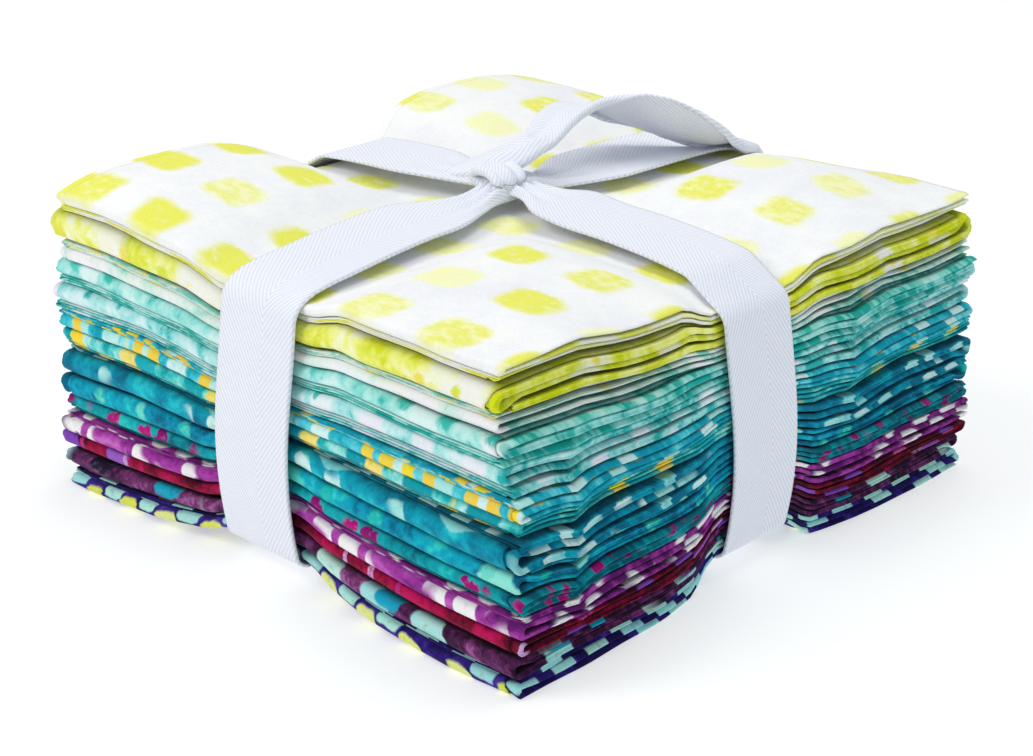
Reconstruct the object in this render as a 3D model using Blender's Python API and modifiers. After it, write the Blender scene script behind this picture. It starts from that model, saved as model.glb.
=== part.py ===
"""Fat quarter bundle: fourteen folded cotton cloths, stacked and tied both
ways round with a woven tape that is knotted on top.

Frame: +Z up, resting on z = 0, with the middle of its bounding box over the
origin.  The rolled folds of the cloths face -Y and +Y, and the ends of their
layers face -X and +X.  Lengths and places below are in millimetres from the
middle of the stack; build() turns them into metres and centres the whole.
"""
import math
from collections import namedtuple

import bmesh
import bpy
from mathutils import Vector

MM = 0.001
CENTRE = (0.7, -1.7, 0.0)       # puts the middle of the bounding box on x = y = 0

# Stack
HALF_X = 78.6          # half of the width across the layers' ends
HALF_Y = 85.0          # half of the depth over the rolled folds
CLOTH_GAP = 0.55       # air between two cloths
TURN_STEPS = 3         # segments in each rolled fold

# Tape
TAPE_X = -6.2          # middle of the band that crosses the -Y face
TAPE_Y = 2.5           # middle of the band that crosses the +X face
TAPE_WIDTH = 24.0
TAPE_THICK = 1.1
TAPE_CLEAR = 0.6       # air between the tape and the cloth under it
FACE_ROOM = 1.2        # how far the uneven folds and ends may stand out
EVENED = 0.8           # share of that unevenness which a band presses flat
WAIST_WIDTH = 9.0      # width of a band where it is gathered under the knot

# The two bands.  slack is how high each run bridges the cloth on top, over and
# under are the steps at the knot and at the crossing below.
Band = namedtuple("Band", "name along half middle slack_minus slack_plus over under")
BANDS = (
    Band("tape_band_long", "y", HALF_Y, TAPE_Y, 2.4, 2.4, 2.2, 0.0),
    Band("tape_band_side", "x", HALF_X, TAPE_X, 4.2, 2.2, 3.7, -1.5),
)

# How the bands run aside, the long one towards +X at the -Y face and the side
# one towards -Y at the +X face.  start and reach say where along its run on top
# a band begins to lean and how soon it is done.  low is the lean at mid height,
# and rim and foot are what is added near rim_at and the bottom.
Lean = namedtuple("Lean", "start reach low rim rim_at rim_spread foot")
LEAN_FRONT = Lean(32.0, 44.0, 2.0, 3.2, 0.85, 0.38, 0.2)
LEAN_RIGHT = Lean(30.0, 55.0, 1.8, 4.3, 0.87, 0.45, 0.5)
FOOT_SPREAD = 0.12

# How the tape shapes the stack
GROOVE = 3.5           # depth of the valley under a band on top
PINCH_TOP = 5.0        # same at the stack's top edges
LIFT = 2.4             # height of the channel under a band at the bottom
PINCH_BOTTOM = 6.5     # same at the stack's bottom edges
CROSS_LIFT = 1.9       # extra height where the two bands cross underneath
PULL_MIDDLE = 0.5      # how far a band draws a face in at half height
PULL_RIM = 3.5         # same at the face's top and bottom edges

# Places along X and Y where the cloth may bend, the same for every cloth
X_STATIONS = (-50.0, -29.0, -18.2, 5.8, 17.0, 46.0)
Y_STATIONS = (-56.0, -21.0, -9.5, 14.5, 27.0, 58.0)

# One row for each folded cloth, from the bottom of the stack to its top.
#   height     share of the stack's height, air included
#   layer_gap  air between its own layers
#   roll       which pair of layers is joined by the fold on the -Y side
#   front      how far the -Y fold stands out (+) or in (-)
#   back       same for the fold on the +Y side
#   tuck       how far the free edges stay inside the folds
#   skew       how far the folds run off square across the width
#   left,right how far the ends of the layers stand out at -X and +X
Cloth = namedtuple("Cloth", "name height layer_gap roll front back tuck skew left right rgb")
CLOTHS = (
    Cloth("cloth_14_purple",   4.8, 0.35, "lower",  0.6, -0.9, 1.2,  0.4,  0.4,  0.8, (0.21, 0.11, 0.44)),
    Cloth("cloth_13_mauve",    4.9, 0.35, "lower",  0.0, -0.2, 0.8, -0.5,  3.6,  1.0, (0.28, 0.10, 0.30)),
    Cloth("cloth_12_crimson",  4.6, 0.35, "upper", -0.3, -0.6, 1.4,  0.3,  3.2,  2.0, (0.36, 0.01, 0.08)),
    Cloth("cloth_11_orchid",   5.7, 0.40, "lower",  0.4, -0.1, 1.0,  0.6,  2.2,  2.2, (0.38, 0.08, 0.37)),
    Cloth("cloth_10_berry",    4.6, 0.35, "upper", -0.4,  0.1, 1.1, -0.3,  2.0,  1.8, (0.03, 0.22, 0.24)),
    Cloth("cloth_09_deep_teal", 5.6, 0.40, "lower", 0.1, -0.5, 0.9,  0.2,  2.0,  1.2, (0.01, 0.28, 0.41)),
    Cloth("cloth_08_teal",     7.1, 0.50, "lower",  0.5,  0.2, 1.0, -0.4,  0.9,  2.3, (0.01, 0.34, 0.42)),
    Cloth("cloth_07_pale_aqua", 4.7, 0.35, "upper", -0.6, -0.4, 1.2, 0.5,  1.2, -0.7, (0.45, 0.76, 0.72)),
    Cloth("cloth_06_aqua",     4.6, 0.35, "lower",  0.0, -0.7, 1.0, -0.6,  2.2,  2.0, (0.10, 0.56, 0.68)),
    Cloth("cloth_05_ice",      6.8, 0.45, "upper", -0.2,  0.3, 1.3,  0.3,  2.4, -0.6, (0.56, 0.86, 0.87)),
    Cloth("cloth_04_mint",     6.2, 0.45, "upper",  0.3, -0.3, 1.1, -0.2,  0.8,  1.2, (0.34, 0.78, 0.71)),
    Cloth("cloth_03_cream",    4.6, 0.35, "lower", -0.7, -0.1, 0.9,  0.4, -1.4, -2.3, (0.82, 0.84, 0.55)),
    Cloth("cloth_02_lime",     6.6, 0.45, "upper",  0.4, -0.5, 1.2, -0.5,  1.6,  0.2, (0.72, 0.79, 0.12)),
    Cloth("cloth_01_white",    4.6, 0.35, "upper", -1.3,  0.0, 1.0,  0.2, -1.2, -2.8, (0.88, 0.87, 0.88)),
)
STACK_HEIGHT = sum(cloth.height for cloth in CLOTHS)

# Puffed cushions that the bands leave between them on top of the stack
Lobe = namedtuple("Lobe", "x y reach_x reach_y height")
LOBES = (
    Lobe(-78.0, -52.0, 58.0, 42.0, 7.8),
    Lobe(-78.0,  52.0, 58.0, 44.0, 6.5),
    Lobe( 42.0,  56.0, 40.0, 31.0, 4.2),
    Lobe( 26.0,  90.0, 34.0, 26.0, -2.2),
    Lobe( 56.0, -56.0, 50.0, 44.0, 1.8),
)

# The knot, and the free end of the tape that leaves it.  The end climbs away
# from the knot, turns over and falls across the +Y edge of the stack.
KNOT_CENTRE = Vector((-6.2, 3.4, 80.9))
KNOT_SIZE = Vector((8.2, 6.6, 3.5))
TAPE_RGB = (0.79, 0.78, 0.87)

Stop = namedtuple("Stop", "far near bulge")    # the tape's two edges at a place
TAIL = (
    Stop((-10.8,  10.8, 84.0), (-4.6,  10.6, 84.6), 0.4),
    Stop((-13.5,  16.5, 87.0), (-3.9,  17.0, 86.4), 0.6),
    Stop((-17.0,  24.5, 89.4), (-5.0,  24.0, 89.2), 0.8),
    Stop((-19.5,  34.5, 89.8), (-6.2,  31.0, 91.0), 0.8),
    Stop((-19.0,  44.5, 86.6), (-5.6,  37.0, 92.6), 0.4),
    Stop((-16.0,  51.0, 83.2), (-2.0,  42.5, 93.4), 1.0),
    Stop(( -9.7,  56.5, 80.0), ( 4.4,  46.0, 93.7), 2.0),
    Stop(( -2.5,  63.0, 77.2), (10.0,  53.5, 90.6), 2.4),
    Stop((  2.6,  70.5, 75.6), (15.0,  60.5, 85.2), 2.0),
    Stop((  3.6,  78.5, 74.6), (14.2,  68.0, 79.8), 0.6),
    Stop((  1.6,  85.8, 73.0), (12.2,  76.5, 75.0), -0.6),
    Stop(( -1.8,  89.4, 67.6), ( 9.0,  85.2, 72.6), -1.0),
    Stop(( -5.0,  89.8, 60.0), ( 9.6,  89.2, 66.0), -0.8),
    Stop(( -5.5,  89.8, 51.0), (12.0,  89.8, 56.0), -0.4),
)


# ---------------------------------------------------------------- the drape

def ease(t):
    """Smooth step from 0 at t = 0 to 1 at t = 1."""
    t = min(max(t, 0.0), 1.0)
    return t * t * (3.0 - 2.0 * t)


def trough(distance, flat, reach):
    """1 within 'flat' of a band's middle, easing to 0 at 'reach'."""
    return 1.0 - ease((abs(distance) - flat) / (reach - flat))


def near_edge(distance, half, start):
    """0 up to 'start' from the middle, easing to 1 at the edge."""
    return ease((abs(distance) - start) / (half - start))


def hump(distance, reach):
    u = abs(distance) / reach
    return (1.0 - u ** 3) ** 2 if u < 1.0 else 0.0


def top_rise(x, y):
    """Height of the stack's top above its corners."""
    a = trough(x - TAPE_X, 12.4, 30.0)
    b = trough(y - TAPE_Y, 12.4, 26.0)
    valley = 1.0 - (1.0 - a) * (1.0 - b)
    rim = max(a * near_edge(y, HALF_Y, 40.0), b * near_edge(x, HALF_X, 36.0))
    puff = sum(l.height * hump(x - l.x, l.reach_x) * hump(y - l.y, l.reach_y) for l in LOBES)
    return puff * (1.0 - valley) - GROOVE * valley - (PINCH_TOP - GROOVE) * rim


def bottom_rise(x, y):
    """Height of the stack's underside above the surface that it rests on."""
    a = trough(x - TAPE_X, 12.4, 24.0)
    b = trough(y - TAPE_Y, 12.4, 24.0)
    channel = 1.0 - (1.0 - a) * (1.0 - b)
    rim = max(a * near_edge(y, HALF_Y, 36.0), b * near_edge(x, HALF_X, 32.0))
    return LIFT * channel + (PINCH_BOTTOM - LIFT) * rim + CROSS_LIFT * a * b


def lean(way, outward, aside, s):
    """Sideways shift at a place 'outward' along a band and 'aside' from its middle."""
    size = (way.low + way.rim * math.exp(-((s - way.rim_at) / way.rim_spread) ** 2)
            + way.foot * math.exp(-(s / FOOT_SPREAD) ** 2))
    return size * ease((outward - way.start) / way.reach) * (1.0 - ease((abs(aside) - 15.0) / 50.0))


def drape(x, y, z):
    """Carry a point of the straight stack to where the tied tape puts it."""
    s = min(max(z / STACK_HEIGHT, 0.0), 1.0)
    z_new = z + bottom_rise(x, y) * (1.0 - s) ** 1.5 + top_rise(x, y) * s ** 1.5
    pull = PULL_MIDDLE + (PULL_RIM - PULL_MIDDLE) * (2.0 * s - 1.0) ** 2
    y_new = y - math.copysign(pull, y) * trough(x - TAPE_X, 11.0, 42.0) * near_edge(y, HALF_Y, 55.0)
    x_new = x - math.copysign(pull, x) * trough(y - TAPE_Y, 11.0, 42.0) * near_edge(x, HALF_X, 48.0)
    x_new += lean(LEAN_FRONT, -y, x - TAPE_X, s)
    y_new -= lean(LEAN_RIGHT, x, y - TAPE_Y, s)
    return x_new, y_new, z_new


# ------------------------------------------------------- one folded cloth

def folded_section(cloth, base):
    """Middle line of the back-and-forth section, as (y, z, layer) points.

    Three layers run the depth of the stack.  Two of them are joined by a
    rolled fold at the front and two at the back.
    """
    thick = (cloth.height - CLOTH_GAP - 2.0 * cloth.layer_gap) / 3.0
    pitch = thick + cloth.layer_gap
    radius = pitch / 2.0
    first = base + CLOTH_GAP / 2.0 + thick / 2.0
    fold_y = {-1: -(HALF_Y + cloth.front) + radius + thick / 2.0,
              +1: HALF_Y + cloth.back - radius - thick / 2.0}
    free_y = {-1: -(HALF_Y + cloth.front) + cloth.tuck,
              +1: HALF_Y + cloth.back - cloth.tuck}

    # A "lower" roll starts at the back and turns first at the front.
    side = 1 if cloth.roll == "lower" else -1
    points = [(free_y[side], first, 0.0)]
    for layer in range(3):
        z = first + layer * pitch
        inner = Y_STATIONS if side < 0 else Y_STATIONS[::-1]
        points += [(y, z, float(layer)) for y in inner]
        side = -side
        if layer == 2:
            points.append((free_y[side], z, 2.0))
            break
        for step in range(TURN_STEPS + 1):
            angle = math.pi * step / TURN_STEPS
            points.append((fold_y[side] + side * radius * math.sin(angle),
                           z + radius * (1.0 - math.cos(angle)),
                           layer + step / TURN_STEPS))
    return points, thick


def end_reach(cloth, index, layer, y, side):
    """How far one layer's end stands at the -X or +X face."""
    base = cloth.left if side < 0 else cloth.right
    stagger = 0.7 * math.sin(2.3 * index + 1.7 * layer + 0.9 * side)
    evened = 1.0 - EVENED * trough(y - TAPE_Y, 13.0, 40.0)
    return side * (HALF_X + (base + stagger) * evened)


def fold_shift(cloth, x, y):
    """How far a point near a rolled fold moves out of the straight stack."""
    side = 1.0 if y > 0.0 else -1.0
    out = cloth.back if y > 0.0 else cloth.front
    evened = EVENED * trough(x - TAPE_X, 13.0, 40.0)
    return cloth.skew * x / HALF_X * (1.0 - evened) - side * out * evened


def new_object(name, mesh, rgb, collection):
    material = bpy.data.materials.new(name)
    material.use_nodes = True
    shader = material.node_tree.nodes["Principled BSDF"]
    shader.inputs["Base Color"].default_value = (*rgb, 1.0)
    shader.inputs["Roughness"].default_value = 0.85
    shader.inputs["Metallic"].default_value = 0.0
    material.diffuse_color = (*rgb, 1.0)
    mesh.materials.append(material)
    obj = bpy.data.objects.new(name, mesh)
    collection.objects.link(obj)
    return obj


def thicken(obj, thickness):
    """Give an open sheet its thickness, half to each side."""
    shell = obj.modifiers.new("thickness", "SOLIDIFY")
    shell.thickness = thickness
    shell.offset = 0.0
    shell.use_even_offset = True
    return shell


def bake(obj):
    """Replace the object's mesh by what its modifiers make of it."""
    graph = bpy.context.evaluated_depsgraph_get()
    mesh = bpy.data.meshes.new_from_object(obj.evaluated_get(graph))
    mesh.name = obj.name
    obj.modifiers.clear()
    obj.data = mesh
    return mesh


def build_cloth(index, cloth, base, collection):
    """A flat grid folded back and forth, thickened, then draped."""
    section, thick = folded_section(cloth, base)
    columns = (-HALF_X,) + X_STATIONS + (HALF_X,)
    bm = bmesh.new()
    grid = bmesh.ops.create_grid(bm, x_segments=len(section) - 1,
                                 y_segments=len(columns) - 1, size=0.5)
    forward = {}
    for vert in grid["verts"]:
        row = round((vert.co.x + 0.5) * (len(section) - 1))
        column = round((vert.co.y + 0.5) * (len(columns) - 1))
        y, z, layer = section[row]
        x = columns[column]
        if column in (0, len(columns) - 1):
            x = end_reach(cloth, index, layer, y, -1 if column == 0 else 1)
        if abs(y) > Y_STATIONS[-1] + 1.0:
            y += fold_shift(cloth, x, y)
        forward[vert] = (round(layer) % 2 == 0) == (cloth.roll == "upper")
        vert.co = (x * MM, y * MM, z * MM)
    # The same diagonal in every layer keeps neighbours parallel once draped.
    runs_forward = [f for f in bm.faces if all(forward[v] for v in f.verts)]
    runs_back = [f for f in bm.faces if f not in set(runs_forward)]
    bmesh.ops.triangulate(bm, faces=runs_back, quad_method="ALTERNATE")
    bmesh.ops.triangulate(bm, faces=runs_forward, quad_method="FIXED")
    mesh = bpy.data.meshes.new(cloth.name)
    bm.to_mesh(mesh)
    bm.free()
    obj = new_object(cloth.name, mesh, cloth.rgb, collection)
    thicken(obj, thick * MM)
    for vert in bake(obj).vertices:
        vert.co = [c * MM for c in drape(*(c / MM for c in vert.co))]
    return obj


# ------------------------------------------------------------- the tape

def band_width(distance):
    """A band's width, gathered in towards the knot."""
    gather = ease((abs(distance) - 7.0) / 27.0)
    return WAIST_WIDTH + (TAPE_WIDTH - WAIST_WIDTH) * gather


def band_path(band, height):
    """Closed path of a band round the stack, as (run, middle, z, face) points.

    run is measured along the band's own direction, from the stack's centre.
    Each point starts on the straight stack, is draped like the cloth under
    it, and then stands off by the band's clearance.
    """
    half = band.half + FACE_ROOM
    stations = Y_STATIONS if band.along == "y" else X_STATIONS
    faces = (0.12, 0.3, 0.5, 0.7, 0.88)
    places = [(run, 0.0, 0, -1, "bottom") for run in stations]
    places += [(half, 0.0, 0.75, -0.75, "face")]
    places += [(half, s * height, 1, 0, "face") for s in faces]
    places += [(half, height, 0.75, 0.75, "face")]
    places += [(run, height, 0, 1, "top") for run in stations[::-1]]
    places += [(-half, height, -0.75, 0.75, "face")]
    places += [(-half, s * height, -1, 0, "face") for s in faces[::-1]]
    places += [(-half, 0.0, -0.75, -0.75, "face")]

    reach = TAPE_CLEAR + TAPE_THICK / 2.0
    path = []
    for run, z, out_run, out_z, face in places:
        centre = 1.0 - ease((abs(run - band.middle) - 12.5) / 20.0)
        rise = 0.0
        if face == "top":
            slack = band.slack_minus if run < band.middle else band.slack_plus
            rise = slack * (1.0 - abs(run / half) ** 3) * (1.0 - centre) + band.over * centre
        elif face == "bottom":
            rise = band.under * centre
        if band.along == "y":
            middle, run, z = drape(TAPE_X, run, z)
        else:
            run, middle, z = drape(run, TAPE_Y, z)
        path.append((run + out_run * reach, middle, z + out_z * reach + rise, face))
    return path


def build_band(band, path, collection):
    """A closed ring of tape, three points wide, from its path."""
    bm = bmesh.new()
    grid = bmesh.ops.create_grid(bm, x_segments=len(path), y_segments=2, size=0.5)
    for vert in grid["verts"]:
        row = round((vert.co.x + 0.5) * len(path)) % len(path)
        across = round(vert.co.y * 2.0)
        run, middle, z, face = path[row]
        width = band_width(run - band.middle) if face == "top" else TAPE_WIDTH
        aside = across * width / 2.0
        if band.along == "y":
            vert.co = Vector((middle + aside, run, z)) * MM
        else:
            vert.co = Vector((run, middle + aside, z)) * MM
    bmesh.ops.remove_doubles(bm, verts=bm.verts, dist=0.01 * MM)
    bmesh.ops.recalc_face_normals(bm, faces=bm.faces)
    mesh = bpy.data.meshes.new(band.name)
    bm.to_mesh(mesh)
    bm.free()
    obj = new_object(band.name, mesh, TAPE_RGB, collection)
    thicken(obj, TAPE_THICK * MM)
    return obj


def build_knot(collection):
    """A pleated lump, flat underneath, with a small nub towards -X -Y."""
    bm = bmesh.new()
    bmesh.ops.create_uvsphere(bm, u_segments=20, v_segments=10, radius=1.0)
    nub = Vector((-0.62, -0.74, -0.25)).normalized()
    for vert in bm.verts:
        unit = vert.co.copy()
        turn = math.atan2(unit.y, unit.x)
        pleat = 1.0 + 0.07 * math.cos(5.0 * turn + 3.0 * unit.z) * math.hypot(unit.x, unit.y)
        push = 0.42 * max(unit.dot(nub), 0.0) ** 6
        size = [a * b * (pleat + push) for a, b in zip(unit, KNOT_SIZE)]
        size[2] = max(size[2], -0.86 * KNOT_SIZE.z)
        vert.co = (KNOT_CENTRE + Vector(size)) * MM
    mesh = bpy.data.meshes.new("tape_knot")
    bm.to_mesh(mesh)
    bm.free()
    mesh.shade_smooth()
    return new_object("tape_knot", mesh, TAPE_RGB, collection)


def build_tail(collection):
    """The tape's free end, hollowed across its width."""
    bm = bmesh.new()
    grid = bmesh.ops.create_grid(bm, x_segments=len(TAIL) - 1, y_segments=4, size=0.5)
    for vert in grid["verts"]:
        row = round((vert.co.x + 0.5) * (len(TAIL) - 1))
        t = vert.co.y + 0.5
        stop = TAIL[row]
        far, near = Vector(stop.far), Vector(stop.near)
        along = Vector(TAIL[min(row + 1, len(TAIL) - 1)].far) - Vector(TAIL[max(row - 1, 0)].far)
        out = along.cross(near - far).normalized()
        point = far.lerp(near, t) + out * (stop.bulge * 4.0 * t * (1.0 - t))
        vert.co = point * MM
    mesh = bpy.data.meshes.new("tape_free_end")
    bm.to_mesh(mesh)
    bm.free()
    obj = new_object("tape_free_end", mesh, TAPE_RGB, collection)
    thicken(obj, TAPE_THICK * MM)
    return obj


def build():
    for obj in list(bpy.data.objects):
        bpy.data.objects.remove(obj, do_unlink=True)
    collection = bpy.data.collections.new("fat_quarter_bundle")
    bpy.context.scene.collection.children.link(collection)

    base = -CLOTH_GAP / 2.0
    for index, cloth in enumerate(CLOTHS):
        build_cloth(index, cloth, base, collection)
        base += cloth.height

    for band in BANDS:
        build_band(band, band_path(band, STACK_HEIGHT), collection)
    build_knot(collection)
    build_tail(collection)

    for obj in collection.objects:
        obj.location = Vector(CENTRE) * MM


build()
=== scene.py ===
"""Looks of the fat quarter bundle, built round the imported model.

Lengths are in millimetres until a mesh is made, and MM turns them into metres.
Places are measured from the middle of the stack.  A cloth is first folded
straight, and drape() then carries it to where the tied tape puts it.
"""
import math
from collections import namedtuple

import bpy
import numpy as np
from mathutils import Matrix, Vector


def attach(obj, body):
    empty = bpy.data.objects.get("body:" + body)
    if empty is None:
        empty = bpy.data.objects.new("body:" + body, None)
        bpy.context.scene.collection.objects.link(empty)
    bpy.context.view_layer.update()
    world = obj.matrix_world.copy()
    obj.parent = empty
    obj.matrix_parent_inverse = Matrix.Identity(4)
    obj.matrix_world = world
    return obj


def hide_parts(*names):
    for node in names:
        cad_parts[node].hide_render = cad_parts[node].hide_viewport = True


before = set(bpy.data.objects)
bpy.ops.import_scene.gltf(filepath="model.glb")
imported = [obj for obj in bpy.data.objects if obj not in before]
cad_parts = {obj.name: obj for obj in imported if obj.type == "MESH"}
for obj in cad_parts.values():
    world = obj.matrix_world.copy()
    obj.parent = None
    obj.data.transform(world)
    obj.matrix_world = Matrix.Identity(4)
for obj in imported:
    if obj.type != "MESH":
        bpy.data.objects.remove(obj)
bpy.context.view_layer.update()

MM = 0.001
CENTRE = np.array((0.7, -1.7, 0.0))  # the stack's middle in the frame

# ---- sizes, as in the solids

HALF_X = 78.6     # half of the width across the layers' ends
HALF_Y = 85.0     # half of the depth over the rolled folds
CLOTH_GAP = 0.55  # air between two cloths

TAPE_X = -6.2      # middle of the band that crosses the -Y face
TAPE_Y = 2.5       # middle of the band that crosses the +X face
WAIST_WIDTH = 9.0  # width of a band where it is gathered under the knot
EVENED = 0.8       # share of the folds' unevenness that a band presses flat

GROOVE = 3.5        # depth of the valley under a band on top
LIFT = 2.4          # height of the channel under a band at the bottom
PINCH_BOTTOM = 6.5  # same at the stack's bottom edges
CROSS_LIFT = 1.9    # extra height where the two bands cross underneath
PULL_MIDDLE = 0.5   # how far a band draws a face in at half height
PULL_RIM = 3.5      # same at the face's top and bottom edges
PULL_FLAT = 11.0    # how far aside from the band that is whole
PULL_REACH = 42.0   # and where it has gone
PULL_FROM_X = 48.0  # how far from the stack's middle it starts
PULL_FROM_Y = 55.0  # same along Y

# How the bands run aside on the -Y and the +X face, as in the solids
Lean = namedtuple("Lean", "start reach low rim rim_at rim_spread foot")
LEAN_FRONT = Lean(32.0, 44.0, 2.0, 3.2, 0.85, 0.38, 0.2)
LEAN_RIGHT = Lean(30.0, 55.0, 1.8, 4.3, 0.87, 0.45, 0.5)
FOOT_SPREAD = 0.12

# The hollow that the bands press in, whole up to HOLLOW_FLOOR from a band's middle:
# how far aside it reaches, and from where it deepens towards the stack's edge.
Hollow = namedtuple("Hollow", "long_reach side_reach long_edge side_edge")
HOLLOW_FLOOR = 12.4
TOP_HOLLOW = Hollow(30.0, 26.0, 40.0, 36.0)
FOOT_HOLLOW = Hollow(24.0, 24.0, 36.0, 32.0)

# ---- sizes of the looks alone

TAPE_WIDTH = 25.4  # as woven, and 24.0 in the solids, drawn in by the tie
TAPE_CLEAR = 1.1   # from the cloth to the middle of the tape
FACE_ROOM = 1.0    # how far the uneven folds and ends may stand out, 1.2 in the solids
PINCH_TOP = 3.0    # depth of the valley at the stack's top edges, 5.0 in the solids

PLY = 0.30        # thickness of one ply of cotton
TAPE_PLY = 0.75   # thickness of the woven tape
RIM_DROP_Y = 0.8  # how far the long band rounds the stack's top edge off
RIM_DROP_X = 3.8  # same for the side band
RIM_REACH = 13.0  # how far in from the face that starts
RIM_HOLLOW = Hollow(26.0, 26.0, HALF_Y - RIM_REACH, HALF_X - RIM_REACH)
FOOT_LIFT = 3.4                 # how far the lowest cloth clears the surface beside the band at -Y
FOOT_LIFT_FROM = 40.0           # how far from the stack's middle that starts
FOOT_LIFT_ASIDE = (16.0, 70.0)  # how far aside it is whole, and where it has gone

# From the bottom of the stack to its top.  The columns up to right are those of
# the solids, apart from the top cloth's tuck and three cloths' right ends.
#   cover   how far the rolled folds swell over the free edge beside them, 0 to 1
#   lap     the same for the folded ends at -X and +X
#   flip    -1 turns the cut over, so that its topmost ply is folded at +X
Cloth = namedtuple("Cloth", "name height layer_gap roll front back tuck skew left right cover lap flip")
CLOTHS = (
    Cloth("cloth_14_purple",    4.8, 0.35, "lower",  0.6, -0.9, 1.2,  0.4,  0.4,  0.8, 0.35, 1.0, 1),
    Cloth("cloth_13_mauve",     4.9, 0.35, "lower",  0.0, -0.2, 0.8, -0.5,  3.6,  1.0, 0.8, 0.9, -1),
    Cloth("cloth_12_crimson",   4.6, 0.35, "upper", -0.3, -0.6, 1.4,  0.3,  3.2,  2.0, 0.6, 1.0, 1),
    Cloth("cloth_11_orchid",    5.7, 0.40, "lower",  0.4, -0.1, 1.0,  0.6,  2.2,  2.2, 0.3, 0.8, -1),
    Cloth("cloth_10_berry",     4.6, 0.35, "upper", -0.4,  0.1, 1.1, -0.3,  2.0,  1.8, 0.3, 1.0, 1),
    Cloth("cloth_09_deep_teal", 5.6, 0.40, "lower",  0.1, -0.5, 0.9,  0.2,  2.0,  1.2, 0.9, 1.0, -1),
    Cloth("cloth_08_teal",      7.1, 0.50, "lower",  0.5,  0.2, 1.0, -0.4,  0.9,  2.3, 0.5, 0.9, 1),
    Cloth("cloth_07_pale_aqua", 4.7, 0.35, "upper", -0.6, -0.4, 1.2,  0.5,  1.2,  0.5, 0.3, 1.0, -1),
    Cloth("cloth_06_aqua",      4.6, 0.35, "lower",  0.0, -0.7, 1.0, -0.6,  2.2,  2.0, 0.1, 0.6, 1),
    Cloth("cloth_05_ice",       6.8, 0.45, "upper", -0.2,  0.3, 1.3,  0.3,  2.4,  0.1, 0.0, 0.7, -1),
    Cloth("cloth_04_mint",      6.2, 0.45, "upper",  0.3, -0.3, 1.1, -0.2,  0.8,  1.2, 0.0, 0.6, 1),
    Cloth("cloth_03_cream",     4.6, 0.35, "lower", -0.7, -0.1, 0.9,  0.4, -1.4, -1.6, 0.0, 0.7, -1),
    Cloth("cloth_02_lime",      6.6, 0.45, "upper",  0.4, -0.5, 1.2, -0.5,  1.6,  0.2, 1.0, 0.8, 1),
    Cloth("cloth_01_white",     4.6, 0.35, "upper", -1.3,  0.0, 0.8,  0.2, -1.2, -2.8, 0.0, 0.8, -1),
)
STACK_HEIGHT = sum(cloth.height for cloth in CLOTHS)

# On top of the stack: puffed cushions that the bands leave between them, and the
# slow rises and dips of a hand-folded edge: x, y, their reach along both, height.
LOBES = (
    (-78, -52, 58, 42, 7.8),
    (-78, 52, 58, 44, 6.5),
    (42, 56, 40, 31, 4.2),
    (26, 90, 34, 26, -2.2),
    (56, -56, 50, 44, 1.8),
    (-34, -85, 26, 34, -0.9),
    (-56, -85, 40, 24, 1.5),
    (42, -85, 30, 26, -0.9),
    (80, -85, 34, 26, -1.2),
    (78, -34, 22, 30, -2.8),
    (78, 26, 28, 30, -4.8),
    (78, 37, 28, 22, 3.2),
    (78, 58, 34, 34, -2),
)

# Creases where all the layers dip together: the side they show on, the place along
# it, their size, and from and to which share of the stack's height they reach.
Crease = namedtuple("Crease", "face at width depth low high")
CREASES = (
    Crease("+x", -66, 8, 3.4, 0.10, 0.82),
    Crease("+x",  34, 8, 1.7, 0.30, 0.92),
    Crease("+x",  58, 14, -1.2, 0.10, 0.70),
    Crease("-x",  60, 12, 1.6, 0.20, 0.85),
    Crease("-x", -44, 14, -1.2, 0.15, 0.80),
    Crease("-x", -70, 9, 1.4, 0.30, 0.90),
    Crease("-y", -48, 14, -0.8, 0.25, 0.75),
    Crease("+y",  44, 16, 1.1, 0.20, 0.80),
    Crease("+y", -52, 14, -1, 0.10, 0.75),
)
CREASE_REACH = 34.0          # how far in from its face a crease fades out
CREASE_BLUNT = 0.02          # how blunt it is where it is deepest
CREASE_FALL = 1.6            # how fast it fades along the face, and towards low and high
CREASE_ASIDE = (12.0, 24.0)  # how near a band it has gone, and from where it is whole

# The near corner's upper cloths turn the corner in a soft roll: by how far, the
# share of the stack's height where most, and its spread.
CORNER_IN = 4.4
CORNER_AT = 0.83
CORNER_SPREAD = 0.15
CORNER_FROM = (40.0, 56.0)   # where along X and -Y the roll starts
CORNER_REACH = (38.0, 30.0)  # and how far on it is whole

LEAN_ASIDE = (15.0, 50.0)  # to where aside the cloth leans with a band, and how soon no more


# ---- the drape

def ease(t):
    """Smooth step from 0 at t = 0 to 1 at t = 1."""
    t = np.clip(t, 0.0, 1.0)
    return t * t * (3.0 - 2.0 * t)


def trough(distance, flat, reach):
    """1 within flat of a band's middle, easing to 0 at reach."""
    return 1.0 - ease((np.abs(distance) - flat) / (reach - flat))


def near_edge(distance, half, start):
    """0 up to start from the middle, easing to 1 at the edge."""
    return ease((np.abs(distance) - start) / (half - start))


def hump(distance, reach):
    """1 at the middle, with a round top, and 0 from reach on."""
    u = np.minimum(np.abs(distance) / reach, 1.0)
    return (1.0 - u ** 3) ** 2


def wave(t, seed, length):
    """A slow uneven wave of about one unit, the same each run."""
    turn = 2.0 * math.pi * t / length
    return (0.62 * np.sin(turn + 1.7 * seed)
            + 0.30 * np.sin(1.87 * turn + 3.9 * seed + 1.0)
            + 0.20 * np.sin(3.41 * turn + 5.3 * seed + 2.0))


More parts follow.
